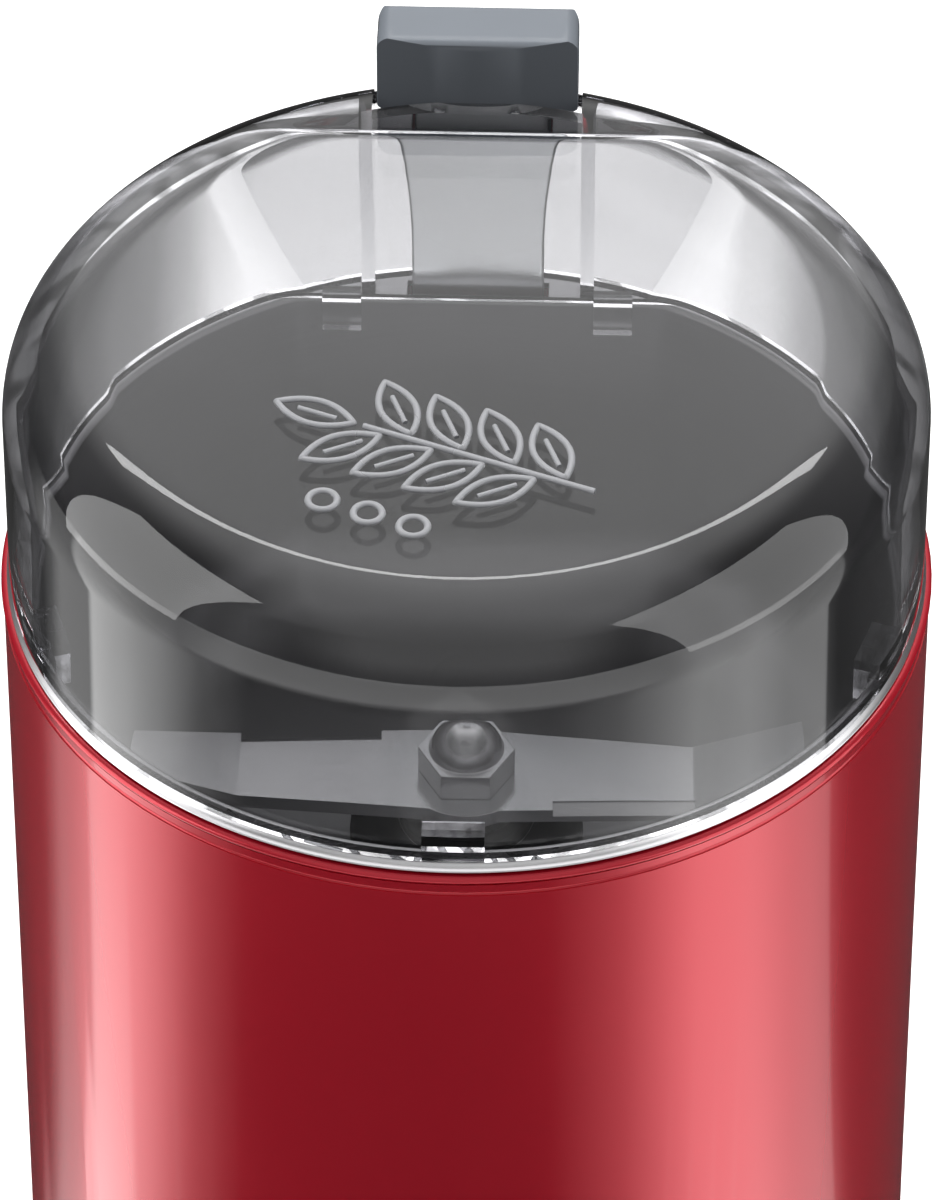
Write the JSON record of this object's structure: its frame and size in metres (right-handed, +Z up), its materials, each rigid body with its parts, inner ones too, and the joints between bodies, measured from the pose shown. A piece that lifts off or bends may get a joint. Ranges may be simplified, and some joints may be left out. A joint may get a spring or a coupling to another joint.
{
  "type": "electric spice grinder",
  "caption": "Cylindrical electric blade grinder with a steel bowl, a clear domed lid and a push button that stands at the back of the lid.",
  "frame": {"origin": "on the table, under the middle of the body", "axes": "+Z up along the motor shaft, the user stands towards -Y, the button is towards +Y"},
  "size_m": [0.0932, 0.0932, 0.1755],
  "materials": {
    "body_red": "glossy",
    "dark_plastic": "satin",
    "steel_plain": "zinc plated",
    "rubber_black": "matte",
    "steel_brushed": "brushed",
    "grey_plastic": "satin",
    "aluminium_cast": "cast",
    "bronze": "sintered",
    "iron_core": "laminated",
    "copper_wire": "enamelled wire",
    "copper_bar": "turned",
    "brass_sheet": "pressed",
    "carbon": "graphite",
    "nylon_white": "moulded",
    "capacitor_yellow": "glossy",
    "blade_steel": "ground",
    "lid_clear": "clear, slightly smoky",
    "button_grey": "satin",
    "stem_grey": "satin"
  },
  "bodies": {
    "root": {"housing": "body_red", "base_cover": "dark_plastic", "base_screws": "steel_plain", "feet": "rubber_black", "cord_gland": "dark_plastic", "cord_clamp": "dark_plastic", "clamp_screws": "steel_plain", "bowl": "steel_brushed", "bowl_gasket": "rubber_black", "support_plate": "grey_plastic", "support_screws": "steel_plain", "collar_nut": "dark_plastic", "shaft_seal": "rubber_black", "isolating_ring": "rubber_black", "upper_bracket": "aluminium_cast", "upper_bearing": "bronze", "stator_core": "iron_core", "field_coil_front": "copper_wire", "field_coil_rear": "copper_wire", "lower_bracket": "aluminium_cast", "lower_bearing": "bronze", "motor_bolts": "steel_plain", "brush_holders": "brass_sheet", "carbon_brushes": "carbon", "brush_springs": "steel_plain", "brush_caps": "dark_plastic", "thermal_fuse": "nylon_white", "capacitor": "capacitor_yellow", "terminal_block": "nylon_white", "terminal_screws": "steel_plain", "switch_bracket": "steel_plain", "switch_body": "dark_plastic", "switch_terminals": "brass_sheet", "return_spring": "steel_plain"},
    "rotor": {"motor_shaft": "steel_plain", "armature_core": "iron_core", "armature_winding": "copper_wire", "commutator": "copper_bar", "cooling_fan": "nylon_white", "thrust_washers": "bronze", "drive_hub": "dark_plastic", "blade": "blade_steel", "blade_nut": "blade_steel"},
    "lid": {"lid": "lid_clear"},
    "button": {"button_cap": "button_grey", "button_stem": "stem_grey"},
    "push_rod": {"push_rod": "grey_plastic"},
    "switch_plunger": {"switch_plunger": "nylon_white"}
  },
  "joints": [
    {"name": "rotor_spin", "type": "hinge", "parent": "root", "child": "rotor", "pos_m": [0, 0, 0.06], "axis": [0, 0, 1], "continuous": true},
    {"name": "lid_lift", "type": "slide", "parent": "root", "child": "lid", "axis": [0, 0, 1], "range_m": [0, 0.06]},
    {"name": "button_press", "type": "slide", "parent": "lid", "child": "button", "axis": [0, 0, -1], "range_m": [0, 0.003], "stiffness_N_per_m": 900, "springref_m": -0.004},
    {"name": "push_rod_slide", "type": "slide", "parent": "root", "child": "push_rod", "axis": [0, 0, -1], "range_m": [0, 0.003], "deforming": ["return_spring"]},
    {"name": "plunger_slide", "type": "slide", "parent": "root", "child": "switch_plunger", "axis": [0, 0, -1], "range_m": [0, 0.003]}
  ],
  "couplings": [
    {"joint": "push_rod_slide", "follows": "button_press", "ratio": 1},
    {"joint": "plunger_slide", "follows": "button_press", "ratio": 1}
  ]
}
